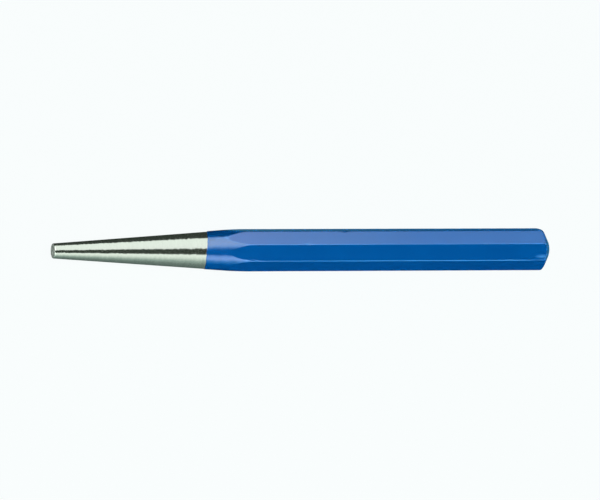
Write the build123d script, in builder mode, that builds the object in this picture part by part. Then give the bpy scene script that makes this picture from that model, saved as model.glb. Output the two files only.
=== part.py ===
from build123d import *
from math import asin, cos, degrees, radians, sqrt, tan
import os

# A taper punch: one bar of tool steel, octagonal in section, ground to a round cone at one end
# and turned to a crowned head at the other. It lies on one of its flats, with the point towards -X.
# All sizes are in millimetres, and angles in degrees.

# The bar that the punch is made from. Its long edges are slightly rounded, as rolled stock is.
overall_length = 154.1
across_flats = 12.0
flat_count = 8
long_edge_radius = 0.4

# The point. The taper's length runs from the tip to where the cone is as wide as the flats, so the
# cone reaches the long edges a little further on and leaves a pointed tongue on every flat.
taper_length = 54.5
tip_diameter = 4.45
tip_edge_radius = 0.2

# The struck head: a cone turned back from a plane square to the axis, and a low dome inside it.
head_angle = 30.0
crown_diameter = 5.0
crown_dome_radius = 12.0
crown_edge_radius = 0.8
head_corner_radius = 0.9

# Worked out from the sizes above. Distances along the punch start at the tip.
flat_radius = across_flats / 2
tip_radius = tip_diameter / 2
crown_radius = crown_diameter / 2
corner_radius = flat_radius / cos(radians(180 / flat_count))
taper_slope = (flat_radius - tip_radius) / taper_length
taper_end = (corner_radius - tip_radius) / taper_slope
dome_height = crown_dome_radius - sqrt(crown_dome_radius**2 - crown_radius**2)
dome_start = overall_length - dome_height
head_start = dome_start - (corner_radius - crown_radius) * tan(radians(head_angle))

# The two planes that the punch is drawn on both pass through the middle of its tip: one square to
# the axis, and one upright along it.
tip_centre = (-overall_length / 2, 0, flat_radius)
section_plane = Plane(origin=tip_centre, x_dir=(0, 1, 0), z_dir=(1, 0, 0))
profile_plane = Plane(origin=tip_centre, x_dir=(1, 0, 0), z_dir=(0, -1, 0))
punch_axis = Axis(tip_centre, (1, 0, 0))

os.makedirs("parts", exist_ok=True)

with BuildPart() as punch:
    # The bar, with one flat underneath.
    with BuildSketch(section_plane):
        RegularPolygon(
            radius=flat_radius,
            side_count=flat_count,
            major_radius=False,
            rotation=180 / flat_count - 90,
        )
    extrude(amount=overall_length)
    fillet(punch.edges().filter_by(Axis.X), radius=long_edge_radius)

    # What the grinding wheel and the lathe leave of it: half of the turned outline, from the tip
    # round to the crown. Between the cone and the head it runs just clear of the long edges.
    with BuildSketch(profile_plane) as turned_outline:
        with BuildLine():
            FilletPolyline(
                (0, 0),
                (0, tip_radius),
                (taper_end, corner_radius),
                (head_start, corner_radius),
                (dome_start, crown_radius),
                radius=[tip_edge_radius, 0, head_corner_radius],
            )
            CenterArc(
                (overall_length - crown_dome_radius, 0),
                crown_dome_radius,
                0,
                degrees(asin(crown_radius / crown_dome_radius)),
            )
            Line((overall_length, 0), (0, 0))
        make_face()
        crown_edge = turned_outline.vertices().sort_by_distance((dome_start, crown_radius, 0))[0]
        fillet(crown_edge, radius=crown_edge_radius)
    revolve(axis=punch_axis, mode=Mode.INTERSECT)

punch.part.label = "punch"
export_step(punch.part, "parts/punch.step")
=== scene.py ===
import math

import bmesh
import bpy
import numpy as np
from mathutils import Matrix, Vector


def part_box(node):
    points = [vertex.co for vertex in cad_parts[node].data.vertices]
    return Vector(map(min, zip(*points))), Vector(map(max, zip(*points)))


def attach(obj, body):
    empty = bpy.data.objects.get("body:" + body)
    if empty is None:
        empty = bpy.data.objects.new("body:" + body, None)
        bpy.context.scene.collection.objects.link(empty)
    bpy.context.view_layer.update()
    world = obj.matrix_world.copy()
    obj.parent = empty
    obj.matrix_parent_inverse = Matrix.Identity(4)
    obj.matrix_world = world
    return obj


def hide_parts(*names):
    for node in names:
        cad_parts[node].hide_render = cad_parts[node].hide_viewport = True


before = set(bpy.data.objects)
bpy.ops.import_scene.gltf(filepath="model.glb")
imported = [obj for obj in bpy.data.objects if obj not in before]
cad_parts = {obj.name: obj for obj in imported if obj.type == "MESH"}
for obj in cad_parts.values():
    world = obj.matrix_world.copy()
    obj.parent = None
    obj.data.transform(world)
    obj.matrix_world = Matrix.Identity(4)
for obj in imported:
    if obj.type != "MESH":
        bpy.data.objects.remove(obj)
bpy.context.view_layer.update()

# The steel bar. A taper punch is a length of octagonal tool steel, rolled with slightly rounded
# long edges. One end is ground to a round cone and the other is turned to a crowned head, so the
# surface is the octagon or the turned outline, whichever lies nearer the axis. Sizes are in mm.
MM = 0.001
box_low, box_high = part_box("punch")
length = (box_high.x - box_low.x) / MM
across_flats = (box_high.z - box_low.z) / MM
tip_x = box_low.x / MM
axis_z = across_flats / 2

flat_count = 8
flat_step = 2 * math.pi / flat_count
half_step = flat_step / 2
flat_radius = across_flats / 2
corner_radius = flat_radius / math.cos(half_step)
long_edge_radius = 0.4

tip_radius = 2.225
tip_edge_radius = 0.2
taper_length = 54.5
cone_slope = (flat_radius - tip_radius) / taper_length
head_angle = math.radians(30)
head_corner_radius = 0.9
crown_radius = 2.5
crown_dome_radius = 12.0

# The rolls leave each flat very slightly crowned, so that a reflection shades across it. Seen square
# to the bar, a flat is an arc of this radius about a point below the axis, and each long edge is a
# small arc that meets the two flats beside it smoothly.
flat_crown = 90.0
crown_centre = flat_radius - flat_crown
edge_centre = crown_centre * math.cos(half_step) + math.sqrt(
    (flat_crown - long_edge_radius) ** 2 - (crown_centre * math.sin(half_step)) ** 2
)
edge_lean = math.atan2(
    edge_centre * math.sin(half_step), edge_centre * math.cos(half_step) - crown_centre
)
edge_from = math.atan2(
    edge_centre * math.sin(half_step) + long_edge_radius * math.sin(edge_lean),
    edge_centre * math.cos(half_step) + long_edge_radius * math.cos(edge_lean),
)


def column_angles(per_flat, per_edge):
    """Directions of the mesh's long lines, from the top flat's middle round by the front."""
    lean = np.linspace(-edge_lean, edge_lean, per_flat + 1)[:-1]
    turn = np.linspace(edge_lean, flat_step - edge_lean, per_edge + 1)[:-1]
    on_flat = np.arctan2(flat_crown * np.sin(lean), crown_centre + flat_crown * np.cos(lean))
    on_edge = np.arctan2(
        edge_centre * math.sin(half_step) + long_edge_radius * np.sin(turn),
        edge_centre * math.cos(half_step) + long_edge_radius * np.cos(turn),
    )
    one_side = np.concatenate([on_flat, on_edge])
    return np.concatenate([one_side + side * flat_step for side in range(flat_count)])


def octagon_reach(angles, inset):
    """How far the bar's rounded octagon reaches in each direction, moved in by the inset."""
    off = np.abs((angles + half_step) % flat_step - half_step)
    on_flat = crown_centre * np.cos(off) + np.sqrt(
        (flat_crown - inset) ** 2 - (crown_centre * np.sin(off)) ** 2
    )
    side = edge_centre * np.sin(half_step - off)
    inside = np.maximum((long_edge_radius - inset) ** 2 - side**2, 0)
    on_edge = edge_centre * np.cos(half_step - off) + np.sqrt(inside)
    return np.where(off < edge_from, on_flat, on_edge)


def arc(along, radius, size, turn):
    """Points of an arc about a centre on the turned outline's plane, for angles up from the axis."""
    return np.stack([along + size * np.cos(turn), radius + size * np.sin(turn)], 1)


def turned_outline(inset, raised):
    """Half of the turned outline, as (along, radius), from the tip to the crown. The inset moves in
    the bar and the head, and raised moves out the cone. Between the cone and the head the outline
    stands clear of the long edges, so that the octagon decides there."""
    clear_radius = corner_radius + 1
    cone_end = (clear_radius - raised - tip_radius) / cone_slope
    dome_centre = length - crown_dome_radius
    dome_start = dome_centre + math.sqrt(crown_dome_radius**2 - crown_radius**2)
    head_start = dome_start - (corner_radius - crown_radius) * math.tan(head_angle)
    head_tangent = head_corner_radius * math.tan((math.pi / 2 - head_angle) / 2)
    clear_end = head_start - 2
    tip_turn = np.linspace(math.pi, math.pi / 2, 7)
    head_turn = np.linspace(math.pi / 2, head_angle, 13)
    crown_turn = np.linspace(math.asin(crown_radius / crown_dome_radius), 0, 30)
    return np.concatenate([
        [(0, 0)],
        arc(tip_edge_radius, tip_radius + raised - tip_edge_radius, tip_edge_radius, tip_turn),
        [(cone_end, clear_radius), (clear_end, clear_radius), (clear_end, corner_radius - inset)],
        arc(
            head_start - head_tangent, corner_radius - head_corner_radius,
            head_corner_radius - inset, head_turn,
        ),
        arc(dome_centre, 0, crown_dome_radius - inset, crown_turn),
    ])


# Use and polish leave every corner of the outline a little soft, over about the widths given here.
# The struck head, over its last few millimetres, is softer.
profile_step = 0.04
corner_softness = 0.1
head_softness = 0.28
worn_length = 7.0
worn_blend = 1.5


def evenly_spaced(points, spacing):
    """The same line with its points a fixed distance apart."""
    run = np.concatenate([[0], np.cumsum(np.hypot(*np.diff(points, axis=0).T))])
    at = np.linspace(0, run[-1], int(run[-1] / spacing) + 1)
    return np.stack([np.interp(at, run, points[:, 0]), np.interp(at, run, points[:, 1])], 1)


def softened(points, width):
    """The same evenly spaced line, from the axis to the axis, with its corners rounded off."""
    reach = int(4 * width / profile_step)
    weights = np.exp(-0.5 * (np.arange(-reach, reach + 1) * profile_step / width) ** 2)
    weights /= weights.sum()
    mirrored_start = points[reach:0:-1] * [1, -1]
    mirrored_end = points[-2:-reach - 2:-1] * [1, -1]
    padded = np.concatenate([mirrored_start, points, mirrored_end])
    return np.stack([np.convolve(padded[:, i], weights, "valid") for i in (0, 1)], 1)


def column_profile(reach, inset, raised):
    """One column of the surface: its points, the run along them, and the runs of the two creases,
    where the flat or the long edge meets the cone and the head."""
    outline = evenly_spaced(turned_outline(inset, raised), profile_step / 2)
    cut = np.stack([outline[:, 0], np.minimum(outline[:, 1], reach)], 1)
    cut = cut[np.concatenate([[True], np.hypot(*np.diff(cut, axis=0).T) > 1e-9])]
    line = evenly_spaced(cut, profile_step)
    on_bar = np.flatnonzero(line[:, 1] > reach - 1e-4)
    worn = np.clip((line[:, 0] - length + worn_length) / worn_blend, 0, 1)[:, None]
    line = softened(line, corner_softness) * (1 - worn) + softened(line, head_softness) * worn
    run = np.arange(len(line)) * profile_step
    return line, run, run[on_bar[0]], run[on_bar[-1]]


# Rings of the mesh, in mm along a column: close together about the tip's edge, the two creases and
# the crown's edge, where the surface bends, and evenly spread between them.
tip_rings = np.array([0, 0.5, 1.0, 1.4, 1.7, 1.9, 2.0, 2.08, 2.15, 2.22, 2.29, 2.36, 2.45, 2.6, 2.8])
crease_rings = np.array([-0.8, -0.5, -0.25, 0, 0.25, 0.5, 0.8])
head_rings = np.array([-0.9, -0.65, -0.45, -0.3, -0.15, 0, 0.15, 0.3, 0.45, 0.65, 0.9])
crown_rings = np.array([-0.5, -0.25, -0.1, 0, 0.1, 0.25, 0.5, 0.8])


def between(start, end, count):
    """Runs evenly spread between two others."""
    return np.linspace(start, end, count + 2)[1:-1]


def ring_positions(run_end, crease, head_crease, first_rings, cone_count, bar_count):
    """Runs of the rings of one column, from its first rings round to the crown's middle."""
    at_crease = crease + crease_rings
    at_head = head_crease + head_rings
    at_crown = run_end - crown_radius + crown_rings
    return np.concatenate([
        first_rings,
        between(first_rings[-1], at_crease[0], cone_count),
        at_crease,
        between(at_crease[-1], at_head[0], bar_count),
        at_head,
        between(at_head[-1], at_crown[0], 11),
        at_crown,
        between(at_crown[-1], run_end, 5),
        [run_end],
    ])


# Knocks that the bar took before it was painted: (mm from the tip, degrees round from the top
# flat's middle towards the front, depth, length and width in mm). One is a long dent beside the head,
# two are on the cone, one is where a flat begins, and the rest of the list are nicks in long edges.
knocks = [
    (77.1, 22.5, 0.12, 0.5, 0.5),
    (132.0, 22.5, 0.10, 0.55, 0.5),
    (89.6, -22.5, 0.08, 0.5, 0.5),
    (55.5, 41.0, 0.05, 0.6, 0.6),
    (59.0, 67.5, 0.07, 0.4, 0.4),
    (61.5, 67.5, 0.07, 0.4, 0.4),
    (150.4, 66.0, 0.17, 3.0, 1.2),
    (49.8, -4.5, 0.05, 0.35, 0.45),
    (52.3, -5.5, 0.03, 0.4, 0.45),
    (119.5, 157.5, 0.08, 0.6, 0.5),
    (96.8, 202.5, 0.09, 0.7, 0.5),
    (141.2, 247.5, 0.07, 0.5, 0.5),
]

# Slighter ones are scattered along the shank's long edges, which lie every 45 degrees from 22.5.
scatter = np.random.default_rng(12)
shank_start, shank_end = 62, 148
knocks_per_edge = 14
slight_width = 0.3
first_edge, edge_apart = 22.5, 45
for edge in range(flat_count):
    for at in scatter.uniform(shank_start, shank_end, knocks_per_edge):
        deep, long = scatter.uniform(0.005, 0.02), scatter.uniform(0.3, 1.6)
        knocks.append((at, first_edge + edge_apart * edge, deep, long, slight_width))


def knock_depth(along, angles):
    """How deep the knocks are at each point."""
    depth = np.zeros_like(along)
    for at, turn, deep, long, wide in knocks:
        around = (angles - math.radians(turn) + math.pi) % (2 * math.pi) - math.pi
        depth += deep * np.exp(-((along - at) / long) ** 2 - (around * flat_radius / wide) ** 2)
    return depth


def in_row_frame(along, radius, angles):
    """Points on the bar, in metres, in the row frame."""
    return np.stack([
        (tip_x + along) * MM, -radius * np.sin(angles) * MM, (axis_z + radius * np.cos(angles)) * MM
    ], -1)


def surface_grid(angles, inset, raised, ring_runs):
    """Along and radius of every point: one row for each column, and ring_runs gives its runs."""
    along, radius = [], []
    for reach, lift in zip(octagon_reach(angles, inset), raised):
        line, run, crease, head_crease = column_profile(reach, inset, lift)
        at = ring_runs(len(along), line, run, crease, head_crease)
        along.append(np.interp(at, run, line[:, 0]))
        radius.append(np.interp(at, run, line[:, 1]))
    return np.array(along), np.array(radius)


def grid_faces(columns, rings, first=0, flip=False):
    """Four-sided faces of a closed tube of points, stored column by column."""
    faces = []
    for c in range(columns):
        here, there = first + c * rings, first + (c + 1) % columns * rings
        for r in range(rings - 1):
            face = (here + r, there + r, there + r + 1, here + r + 1)
            faces.append(face[::-1] if flip else face)
    return faces


def mesh_object(name, points, faces):
    """A smooth-shaded object in the row frame."""
    mesh = bpy.data.meshes.new(name)
    mesh.from_pydata([tuple(p) for p in points], [], faces)
    work = bmesh.new()
    work.from_mesh(mesh)
    bmesh.ops.remove_doubles(work, verts=work.verts, dist=1e-7)
    bmesh.ops.recalc_face_normals(work, faces=work.faces)
    work.to_mesh(mesh)
    work.free()
    mesh.polygons.foreach_set("use_smooth", [True] * len(mesh.polygons))
    made = bpy.data.objects.new(name, mesh)
    bpy.context.scene.collection.objects.link(made)
    return made


# The steel's own surface runs the full length and lies a coat's thickness inside the bar's size, so
# that the lacquer brings the shank and the head up to it. The cone is at its full size.
lacquer_film = 0.11
bar_angles = column_angles(per_flat=14, per_edge=6)


def bar_rings(column, line, run, crease, head_crease):
    return ring_positions(run[-1], crease, head_crease, tip_rings, cone_count=95, bar_count=109)


bar_along, bar_reach = surface_grid(bar_angles, lacquer_film, 0 * bar_angles, bar_rings)
turned = np.broadcast_to(bar_angles[:, None], bar_along.shape)
bar_reach = bar_reach - knock_depth(bar_along, turned)
bar_reach[:, [0, -1]] = 0
bar_points = in_row_frame(bar_along, bar_reach, turned).reshape(-1, 3)
steel_bar = mesh_object("steel_bar", bar_points, grid_faces(*bar_along.shape))


def linear(hex_colour):
    """A linear colour from sRGB hex, with an alpha of 1."""
    parts = [int(hex_colour[i:i + 2], 16) / 255 for i in (1, 3, 5)]
    return [p / 12.92 if p <= 0.04045 else ((p + 0.055) / 1.055) ** 2.4 for p in parts] + [1.0]


def add_node(tree, kind, inputs=None, **settings):
    """Adds a node with its settings. An input is a value, or another node's output to link."""
    made = tree.nodes.new(kind)
    for name, value in settings.items():
        setattr(made, name, value)
    for socket, value in (inputs or {}).items():
        if isinstance(value, bpy.types.NodeSocket):
            tree.links.new(value, made.inputs[socket])
        else:
            made.inputs[socket].default_value = value
    return made


def uneven_pattern(tree, patch_size, detail, roughness):
    """A pattern of uneven patches in the object's own space, of a size in mm along, across and up."""
    place = add_node(tree, "ShaderNodeTexCoord")
    spread = add_node(tree, "ShaderNodeMapping", {
        "Vector": place.outputs["Object"], "Scale": [1 / (size * MM) for size in patch_size]
    })
    patches = add_node(tree, "ShaderNodeTexNoise", {
        "Vector": spread.outputs[0], "Scale": 1.0, "Detail": detail, "Roughness": roughness
    })
    return patches.outputs["Fac"]


def lean_round(tree, normal, amount):
    """The normal, leant round the bar by an amount in radians."""
    round_way = add_node(
        tree, "ShaderNodeVectorMath", {0: (1, 0, 0), 1: normal}, operation="CROSS_PRODUCT"
    )
    lean = add_node(
        tree, "ShaderNodeVectorMath", {0: round_way.outputs[0], "Scale": amount}, operation="SCALE"
    )
    leaning = add_node(tree, "ShaderNodeVectorMath", {0: normal, 1: lean.outputs[0]}, operation="ADD")
    return add_node(
        tree, "ShaderNodeVectorMath", {0: leaning.outputs[0]}, operation="NORMALIZE"
    ).outputs[0]


def new_material(name):
    material = bpy.data.materials.new(name)
    material.use_nodes = True
    material.node_tree.nodes.clear()
    return material, material.node_tree


# Ground tool steel, bright from a fine wheel that runs round the cone. The wheel leaves rings, which
# break the edges of every reflection into short teeth, and a polish that is a little uneven along the
# cone. The rings are a few hundredths of a millimetre apart, too fine to show, so they are drawn at
# 0.8 mm, the size of the teeth in the reflections, and the uneven polish at about half of that.
ring_size = (0.8, 3.85, 3.85)
ring_lean = 0.045
streak_size = (0.385, 3.33, 3.33)

ground_steel, tree = new_material("ground_tool_steel")
wheel_rings = uneven_pattern(tree, ring_size, detail=3.0, roughness=0.6)
wobble = add_node(tree, "ShaderNodeMapRange", {
    "Value": wheel_rings, "From Min": 0.25, "From Max": 0.75, "To Min": -ring_lean, "To Max": ring_lean
})
surface = add_node(tree, "ShaderNodeNewGeometry")
ground_normal = lean_round(tree, surface.outputs["Normal"], wobble.outputs[0])
streaks = uneven_pattern(tree, streak_size, detail=4.0, roughness=0.7)
fine_rings = add_node(tree, "ShaderNodeBump", {
    "Height": streaks, "Normal": ground_normal, "Strength": 0.15, "Distance": 0.02 * MM
})
polish = add_node(tree, "ShaderNodeMapRange", {
    "Value": streaks, "From Min": 0.3, "From Max": 0.75, "To Min": 0.1, "To Max": 0.18
})
shade = add_node(tree, "ShaderNodeMapRange", {
    "Value": streaks, "From Min": 0.3, "From Max": 0.7, "To Min": 0.94, "To Max": 1.0
})
bright_grey = add_node(
    tree, "ShaderNodeMix",
    {"Factor": shade.outputs[0], 6: linear("#000000"), 7: linear("#c5ccc4")}, data_type="RGBA",
)
shader = add_node(tree, "ShaderNodeBsdfPrincipled", {
    "Base Color": bright_grey.outputs[2], "Metallic": 0.93, "Roughness": polish.outputs[0],
    "Normal": fine_rings.outputs[0],
})
add_node(tree, "ShaderNodeOutputMaterial", {"Surface": shader.outputs[0]})
steel_bar.data.materials.append(ground_steel)

# Faced tool steel: the tip's end, sawn and faced but not polished. It gives a matt grey, mottled with
# darker specks.
speck_size = (0.714, 0.714, 0.714)
face_depth = 0.05

faced_steel, tree = new_material("faced_tool_steel")
specks = uneven_pattern(tree, speck_size, detail=3.0, roughness=0.6)
mottle = add_node(tree, "ShaderNodeMapRange", {"Value": specks, "From Min": 0.38, "From Max": 0.62})
matt_grey = add_node(
    tree, "ShaderNodeMix",
    {"Factor": mottle.outputs[0], 6: linear("#a6aba4"), 7: linear("#dadfd7")}, data_type="RGBA",
)
pits = add_node(tree, "ShaderNodeBump", {"Height": specks, "Strength": 0.3, "Distance": 0.05 * MM})
shader = add_node(tree, "ShaderNodeBsdfPrincipled", {
    "Base Color": matt_grey.outputs[2], "Metallic": 0.35, "Roughness": 0.5, "Normal": pits.outputs[0]
})
add_node(tree, "ShaderNodeOutputMaterial", {"Surface": shader.outputs[0]})
steel_bar.data.materials.append(faced_steel)
for face in steel_bar.data.polygons:
    face.material_index = int(face.center.x < (tip_x + face_depth) * MM)

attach(steel_bar, "root")
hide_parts("punch")

# The lacquer. The bar is sprayed gloss blue over the shank and the head with the point masked off, so
# the coat ends on the cone in a straight line a little askew. It flows to a rounded edge there, with a
# slight bead behind it, and lies a little thicker on the cone's upper back.
paint_line = 47.07
paint_skew_across = 0.203
paint_skew_up = -0.1452
# The line also wavers: (waves round the cone, where they start in radians, height in mm).
paint_waver = ((5, 1.0, 0.05), (13, 2.5, 0.035), (29, 0.0, 0.02))
edge_width = 0.18
bead_height = 0.006
bead_place = 0.25
bead_width = 0.15
cone_film_more = 0.02
cone_film_uneven = 0.04
thickest_turn = math.radians(-53.4)


def paint_edge(angles):
    """Where the coat starts in each direction, in mm from the tip."""
    reach = tip_radius + cone_slope * paint_line
    skew = -paint_skew_across * np.sin(angles) + paint_skew_up * np.cos(angles)
    waver = sum(height * np.sin(waves * angles + begin) for waves, begin, height in paint_waver)
    return paint_line + reach * skew + waver


# Rings of the coat's edge, close together where it rounds over. Where the coat starts is looked up in
# the profile's points past the tip and short of the head, where each place along has one run.
edge_rings = np.array([0, 0.012, 0.03, 0.06, 0.1, 0.16, 0.24, 0.34, 0.46, 0.6, 0.8, 1.05, 1.35])
cone_and_shank = slice(60, -200)
starts = paint_edge(bar_angles)
cone_film = lacquer_film + cone_film_more + cone_film_uneven * np.cos(bar_angles - thickest_turn)


def coat_rings(column, line, run, crease, head_crease):
    first_rings = np.interp(starts[column], line[cone_and_shank, 0], run[cone_and_shank]) + edge_rings
    return ring_positions(run[-1], crease, head_crease, first_rings, cone_count=28, bar_count=189)


# The coat is a closed shell. Its outer face is the bar's full size, less the knocks, and its inner
# face lies just under the steel's surface, so that no gap shows, with fewer rings along the shank.
coat_along, coat_reach = surface_grid(bar_angles, 0, cone_film, coat_rings)
bare_along, bare_reach = surface_grid(bar_angles, lacquer_film, 0 * bar_angles, coat_rings)
turned = np.broadcast_to(bar_angles[:, None], coat_along.shape)
from_edge = coat_along - starts[:, None]
rise = np.sqrt(1 - np.clip(1 - from_edge / edge_width, 0, 1) ** 2)
bead = bead_height * np.exp(-((from_edge - bead_place) / bead_width) ** 2)
overlap = 0.004
under = bare_reach - overlap
dents = knock_depth(coat_along, turned)
outer_reach = under + (coat_reach - under) * rise + bead * rise - dents
outer_reach[:, -1] = 0
outer_points = in_row_frame(coat_along, outer_reach, turned)

ring_count = coat_along.shape[1]
shank_first, shank_last = 41, ring_count - 40
kept_rings = np.concatenate([
    np.arange(shank_first), np.arange(shank_first, shank_last, 3), np.arange(shank_last, ring_count)
])
inner_reach = (under - dents)[:, kept_rings]
inner_reach[:, -1] = 0
inner_points = in_row_frame(bare_along[:, kept_rings], inner_reach, turned[:, kept_rings])
inner_points[:, 0] = outer_points[:, 0]
faces = grid_faces(*coat_along.shape)
faces += grid_faces(*inner_reach.shape, first=coat_along.size, flip=True)
lacquer_coat = mesh_object(
    "lacquer_coat", np.concatenate([outer_points.reshape(-1, 3), inner_points.reshape(-1, 3)]), faces
)

# Gloss blue lacquer: a pigmented coat that has flowed out under a hard clear gloss, so that it mirrors
# the light tent, with a slight orange peel about 2 mm across and a blue that is a little cloudy. Over
# the cone it still shows the wheel's rings. Its IOR is above a real lacquer's 1.5, because the coat
# on the real punch mirrors more than that would.
peel_size = (2.38, 2.0, 2.0)
cloud_size = (11.1, 11.1, 11.1)
coated_ring_size = (0.667, 3.85, 3.85)
coated_ring_lean = 0.21
rings_full_to = 54
rings_gone_from = 66

blue_lacquer, tree = new_material("gloss_blue_lacquer")
peel = uneven_pattern(tree, peel_size, detail=2.0, roughness=0.5)
orange_peel = add_node(tree, "ShaderNodeBump", {"Height": peel, "Strength": 0.25, "Distance": 0.04 * MM})
wheel_rings = uneven_pattern(tree, coated_ring_size, detail=3.0, roughness=0.6)
place = add_node(tree, "ShaderNodeTexCoord")
split = add_node(tree, "ShaderNodeSeparateXYZ", {0: place.outputs["Object"]})
on_cone = add_node(tree, "ShaderNodeMapRange", {
    "Value": split.outputs["X"], "From Min": (tip_x + rings_gone_from) * MM,
    "From Max": (tip_x + rings_full_to) * MM, "To Min": 0.0, "To Max": coated_ring_lean,
})
centred = add_node(tree, "ShaderNodeMath", {0: wheel_rings, 1: 0.5}, operation="SUBTRACT")
wobble = add_node(
    tree, "ShaderNodeMath", {0: centred.outputs[0], 1: on_cone.outputs[0]}, operation="MULTIPLY"
)
cloud = uneven_pattern(tree, cloud_size, detail=2.0, roughness=0.5)
cloudiness = add_node(tree, "ShaderNodeMapRange", {"Value": cloud, "From Min": 0.3, "From Max": 0.7})
blue = add_node(
    tree, "ShaderNodeMix",
    {"Factor": cloudiness.outputs[0], 6: linear("#0058a6"), 7: linear("#005cab")}, data_type="RGBA",
)
shader = add_node(tree, "ShaderNodeBsdfPrincipled", {
    "Base Color": blue.outputs[2], "Roughness": 0.08, "IOR": 2.4,
    "Normal": lean_round(tree, orange_peel.outputs[0], wobble.outputs[0]),
})
add_node(tree, "ShaderNodeOutputMaterial", {"Surface": shader.outputs[0]})
lacquer_coat.data.materials.append(blue_lacquer)

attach(lacquer_coat, "root")
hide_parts("punch")

# The floor: a large pale sheet just under the punch. It is seen nearly white and keeps a soft shadow
# where the punch rests on it, and reflections see the light tent instead of it.
floor_half = 6.0
floor_z = -0.02 * MM
seen_glow = 0.96


def seen_share(tree):
    """1 for a ray from the camera, off a gloss or through glass, and 0 for any other."""
    ray = add_node(tree, "ShaderNodeLightPath")
    seen = add_node(
        tree, "ShaderNodeMath", {0: ray.outputs["Is Camera Ray"], 1: ray.outputs["Is Glossy Ray"]},
        operation="MAXIMUM",
    )
    return add_node(
        tree, "ShaderNodeMath", {0: seen.outputs[0], 1: ray.outputs["Is Transmission Ray"]},
        operation="MAXIMUM",
    ).outputs[0]


floor_corners = [(x * floor_half, y * floor_half, floor_z) for x, y in ((-1, -1), (1, -1), (1, 1), (-1, 1))]
floor_mesh = bpy.data.meshes.new("floor")
floor_mesh.from_pydata(floor_corners, [], [(0, 1, 2, 3)])
floor = bpy.data.objects.new("floor", floor_mesh)
bpy.context.scene.collection.objects.link(floor)
floor.visible_glossy = False
pale_sheet, tree = new_material("pale_paper")
share = add_node(tree, "ShaderNodeMath", {0: seen_share(tree), 1: seen_glow}, operation="MULTIPLY")
paper = add_node(tree, "ShaderNodeBsdfDiffuse", {"Color": linear("#f7fdfd")})
glow = add_node(tree, "ShaderNodeEmission", {"Color": linear("#fbffff"), "Strength": 1.0})
both = add_node(tree, "ShaderNodeMixShader", {0: share.outputs[0], 1: paper.outputs[0], 2: glow.outputs[0]})
add_node(tree, "ShaderNodeOutputMaterial", {"Surface": both.outputs[0]})
floor_mesh.materials.append(pale_sheet)

# The light tent: long arcs of lit cloth round the punch, one inside another, against black. Only
# reflections see it, and each arc lights one piece. The bare steel has a cloth of its own, because
# ground steel gathers light from far wider round than the gloss does.
tent_strength = 5.0
tent_half_length = 8.0
outer_radius = 0.45
radius_step = 0.01
strip_degrees = 3
fewest_turns = 8

# For each arc, its colours at degrees up from the front horizon, over the top and down behind, and
# the share of each colour that is lit at metres along.
tent_parts = [
    (
        "steel_cloth", steel_bar,
        [
            (-180, "#1c221c"), (-140, "#1c221c"), (-110, "#34403c"), (-50, "#505c58"), (-22, "#788680"),
            (-6, "#a4aca6"), (8, "#bcc2bc"), (25, "#c8ccc8"), (28.5, "#101a10"), (63.5, "#101a10"),
            (67, "#c4c6c4"), (133.5, "#c6cac6"), (138.5, "#1c221c"), (180, "#1c221c"),
        ],
        [(-0.15, "#ffffff"), (-0.06, "#bebebe"), (0.3, "#bebebe")],
    ),
    (
        "back_cloth", lacquer_coat,
        [(-178, "#000000"), (-168, "#184054"), (-118, "#184054"), (-108, "#000000")],
        [(0.11, "#000000"), (0.122, "#fff0e8"), (0.22, "#a0c4e8"), (0.33, "#ffffff")],
    ),
    (
        "near_roof", lacquer_coat,
        [
            (56, "#001020"), (66, "#5078a0"), (76, "#86baf4"), (88, "#9cc6f2"), (118, "#9cc6f2"),
            (133, "#80b0e0"), (138, "#000000"),
        ],
        [
            (0.045, "#ecc4a6"), (0.058, "#d8bca6"), (0.063, "#c0aca6"), (0.067, "#c0b2b0"),
            (0.077, "#fcfcfc"), (0.094, "#fcfcfc"), (0.105, "#000000"),
        ],
    ),
    (
        "far_roof", lacquer_coat,
        [
            (76, "#000000"), (82, "#7cb8ec"), (108, "#7cb8ec"), (117, "#76809c"), (134, "#6a7490"),
            (141, "#000000"),
        ],
        [
            (0.097, "#000000"), (0.106, "#ffffff"), (0.125, "#e4f2f6"), (0.16, "#cce6f0"),
            (0.18, "#b6d6ea"), (0.226, "#b0d6ea"), (0.236, "#baecff"), (0.245, "#baecff"),
            (0.262, "#000000"), (0.31, "#000000"), (0.37, "#c8e4e8"), (0.8, "#c8e4e8"),
        ],
    ),
    (
        "front_board", lacquer_coat,
        [
            (-36, "#000000"), (-30, "#104050"), (-15, "#4484a6"), (-3, "#84c0f0"), (4, "#90ccff"),
            (18, "#7ab4e0"), (28.5, "#000000"),
        ],
        [
            (0.053, "#dcb4ac"), (0.063, "#d8bcbc"), (0.068, "#f8e8e8"), (0.11, "#f8f4ff"),
            (0.125, "#acc6c8"), (0.14, "#8cc4c4"), (0.15, "#b0eef4"), (0.2, "#bcf0f6"),
            (0.24, "#c0e4ec"), (0.265, "#000000"), (0.33, "#000000"), (0.4, "#a8bcc8"),
            (0.8, "#a8bcc8"),
        ],
    ),
]


def colour_along(tree, place, stops):
    """The colour at a place, from (place, sRGB hex) stops."""
    first, last = stops[0][0], stops[-1][0]
    share = add_node(tree, "ShaderNodeMapRange", {"Value": place, "From Min": first, "From Max": last})
    ramp = add_node(tree, "ShaderNodeValToRGB", {"Fac": share.outputs[0]})
    elements = ramp.color_ramp.elements
    elements[0].color = linear(stops[0][1])
    elements[1].color = linear(stops[-1][1])
    for at, hex_colour in stops[1:-1]:
        elements.new((at - first) / (last - first)).color = linear(hex_colour)
    return ramp.outputs[0]


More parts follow.
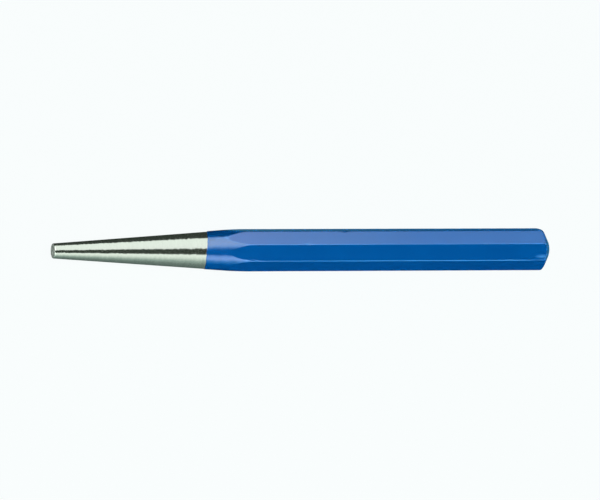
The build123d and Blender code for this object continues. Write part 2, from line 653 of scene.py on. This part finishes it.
def cloth_arc(name, radius, first, last):
    """A long arc of cloth round the punch's axis, from one angle in degrees to another."""
    turn_count = max(fewest_turns, int((last - first) / strip_degrees))
    corners = [
        (x, -radius * math.cos(turn), axis_z * MM + radius * math.sin(turn))
        for turn in np.radians(np.linspace(first, last, turn_count))
        for x in (-tent_half_length, tent_half_length)
    ]
    strips = [(2 * i, 2 * i + 1, 2 * i + 3, 2 * i + 2) for i in range(turn_count - 1)]
    mesh = bpy.data.meshes.new(name)
    mesh.from_pydata(corners, [], strips)
    made = bpy.data.objects.new(name, mesh)
    bpy.context.scene.collection.objects.link(made)
    for kind in ("camera", "diffuse", "transmission", "shadow", "volume_scatter"):
        setattr(made, "visible_" + kind, False)
    return made


def lit_cloth(name, colours, shares, see_through):
    """Cloth that glows in its colours, and lets the next cloth be seen through it where it can."""
    material, tree = new_material(name)
    surface = add_node(tree, "ShaderNodeNewGeometry")
    split = add_node(tree, "ShaderNodeSeparateXYZ", {0: surface.outputs["Position"]})
    forward = add_node(tree, "ShaderNodeMath", {0: split.outputs["Y"], 1: -1.0}, operation="MULTIPLY")
    up = add_node(tree, "ShaderNodeMath", {0: split.outputs["Z"], 1: axis_z * MM}, operation="SUBTRACT")
    turn = add_node(
        tree, "ShaderNodeMath", {0: up.outputs[0], 1: forward.outputs[0]}, operation="ARCTAN2"
    )
    degrees = add_node(tree, "ShaderNodeMath", {0: turn.outputs[0]}, operation="DEGREES")
    colour = colour_along(tree, degrees.outputs[0], colours)
    share = colour_along(tree, split.outputs["X"], shares)
    lit = add_node(tree, "ShaderNodeVectorMath", {0: colour, 1: share}, operation="MULTIPLY")
    glow = add_node(tree, "ShaderNodeEmission", {"Color": lit.outputs[0], "Strength": tent_strength})
    if see_through:
        through = add_node(tree, "ShaderNodeBsdfTransparent")
        glow = add_node(tree, "ShaderNodeAddShader", {0: through.outputs[0], 1: glow.outputs[0]})
    add_node(tree, "ShaderNodeOutputMaterial", {"Surface": glow.outputs[0]})
    return material


for ring, (name, lit_piece, colours, shares) in enumerate(tent_parts):
    cloth = cloth_arc(name, outer_radius - radius_step * ring, colours[0][0], colours[-1][0])
    cloth.data.materials.append(lit_cloth(name, colours, shares, see_through=ring > 0))
    lit_pieces = bpy.data.collections.new(name + "_lights")
    lit_pieces.objects.link(lit_piece)
    cloth.light_linking.receiver_collection = lit_pieces

# The lamps: a soft key lamp high in front and towards the tip, a weak wide one overhead and another
# low in front. They light the colours and the shadow, and reflections see the tent instead of them.
# Places and sizes are in metres, and powers in watts.
for name, place, size, watts in (
    ("key_lamp", (-0.16, -0.6, 0.88), 0.45, 4.3),
    ("overhead_lamp", (-0.05, -0.03, 1.0), 1.0, 1.0),
    ("front_lamp", (0.05, -1.13, 0.41), 0.6, 2.0),
):
    light = bpy.data.lights.new(name, "AREA")
    light.shape, light.size, light.energy = "SQUARE", size, watts
    lamp = bpy.data.objects.new(name, light)
    lamp.location = place
    lamp.rotation_euler = (-Vector(place)).to_track_quat("-Z", "Y").to_euler()
    lamp.visible_glossy = False
    bpy.context.scene.collection.objects.link(lamp)

# The world: the surroundings, nearly white where they are seen. They give only a weak fill to what
# they light, because the lamps do that.
weak_fill = 0.15
world = bpy.data.worlds.new("studio")
world.use_nodes = True
tree = world.node_tree
tree.nodes.clear()
level = add_node(
    tree, "ShaderNodeMapRange", {"Value": seen_share(tree), "To Min": weak_fill, "To Max": 1.0}
)
air = add_node(tree, "ShaderNodeBackground", {"Color": linear("#fafeff"), "Strength": level.outputs[0]})
add_node(tree, "ShaderNodeOutputWorld", {"Surface": air.outputs[0]})
world.cycles.sampling_method = "NONE"
bpy.context.scene.world = world

# The camera: a long lens 3 m away, above the front and a little round towards the tip. It aims a
# little to the left of the punch's middle, by so many pixels of a picture 600 wide.
camera_distance = 3.0
picture_width_px = 600
sensor_width = 36.0
px_per_mm = 3.3854
round_to_tip = math.radians(18.46)
lift = math.radians(53.4)
tilt = math.radians(0.208)
aim_left_px = 2.09
aim_up_px = 0.05
to_camera = Vector((
    -math.sin(round_to_tip),
    -math.cos(round_to_tip) * math.cos(lift),
    math.cos(round_to_tip) * math.sin(lift),
))
level_right = (Vector((1, 0, 0)) - to_camera * to_camera.x).normalized()
level_up = to_camera.cross(level_right)
right = level_right * math.cos(tilt) - level_up * math.sin(tilt)
above = level_right * math.sin(tilt) + level_up * math.cos(tilt)
middle = Vector((0, 0, axis_z * MM))
aim = middle + (above * aim_up_px - right * aim_left_px) / px_per_mm * MM
stand = aim + to_camera * camera_distance
lens = bpy.data.cameras.new("camera")
lens.sensor_width = sensor_width
lens.lens = px_per_mm * camera_distance / MM * sensor_width / picture_width_px
camera = bpy.data.objects.new("camera", lens)
camera.matrix_world = Matrix((
    (right.x, above.x, to_camera.x, stand.x),
    (right.y, above.y, to_camera.y, stand.y),
    (right.z, above.z, to_camera.z, stand.z),
    (0, 0, 0, 1),
))
bpy.context.scene.collection.objects.link(camera)
bpy.context.scene.camera = camera
bpy.context.scene.view_settings.view_transform = "Standard"

for piece in (steel_bar, lacquer_coat):
    print(piece.name, "triangles", sum(len(f.vertices) - 2 for f in piece.data.polygons))
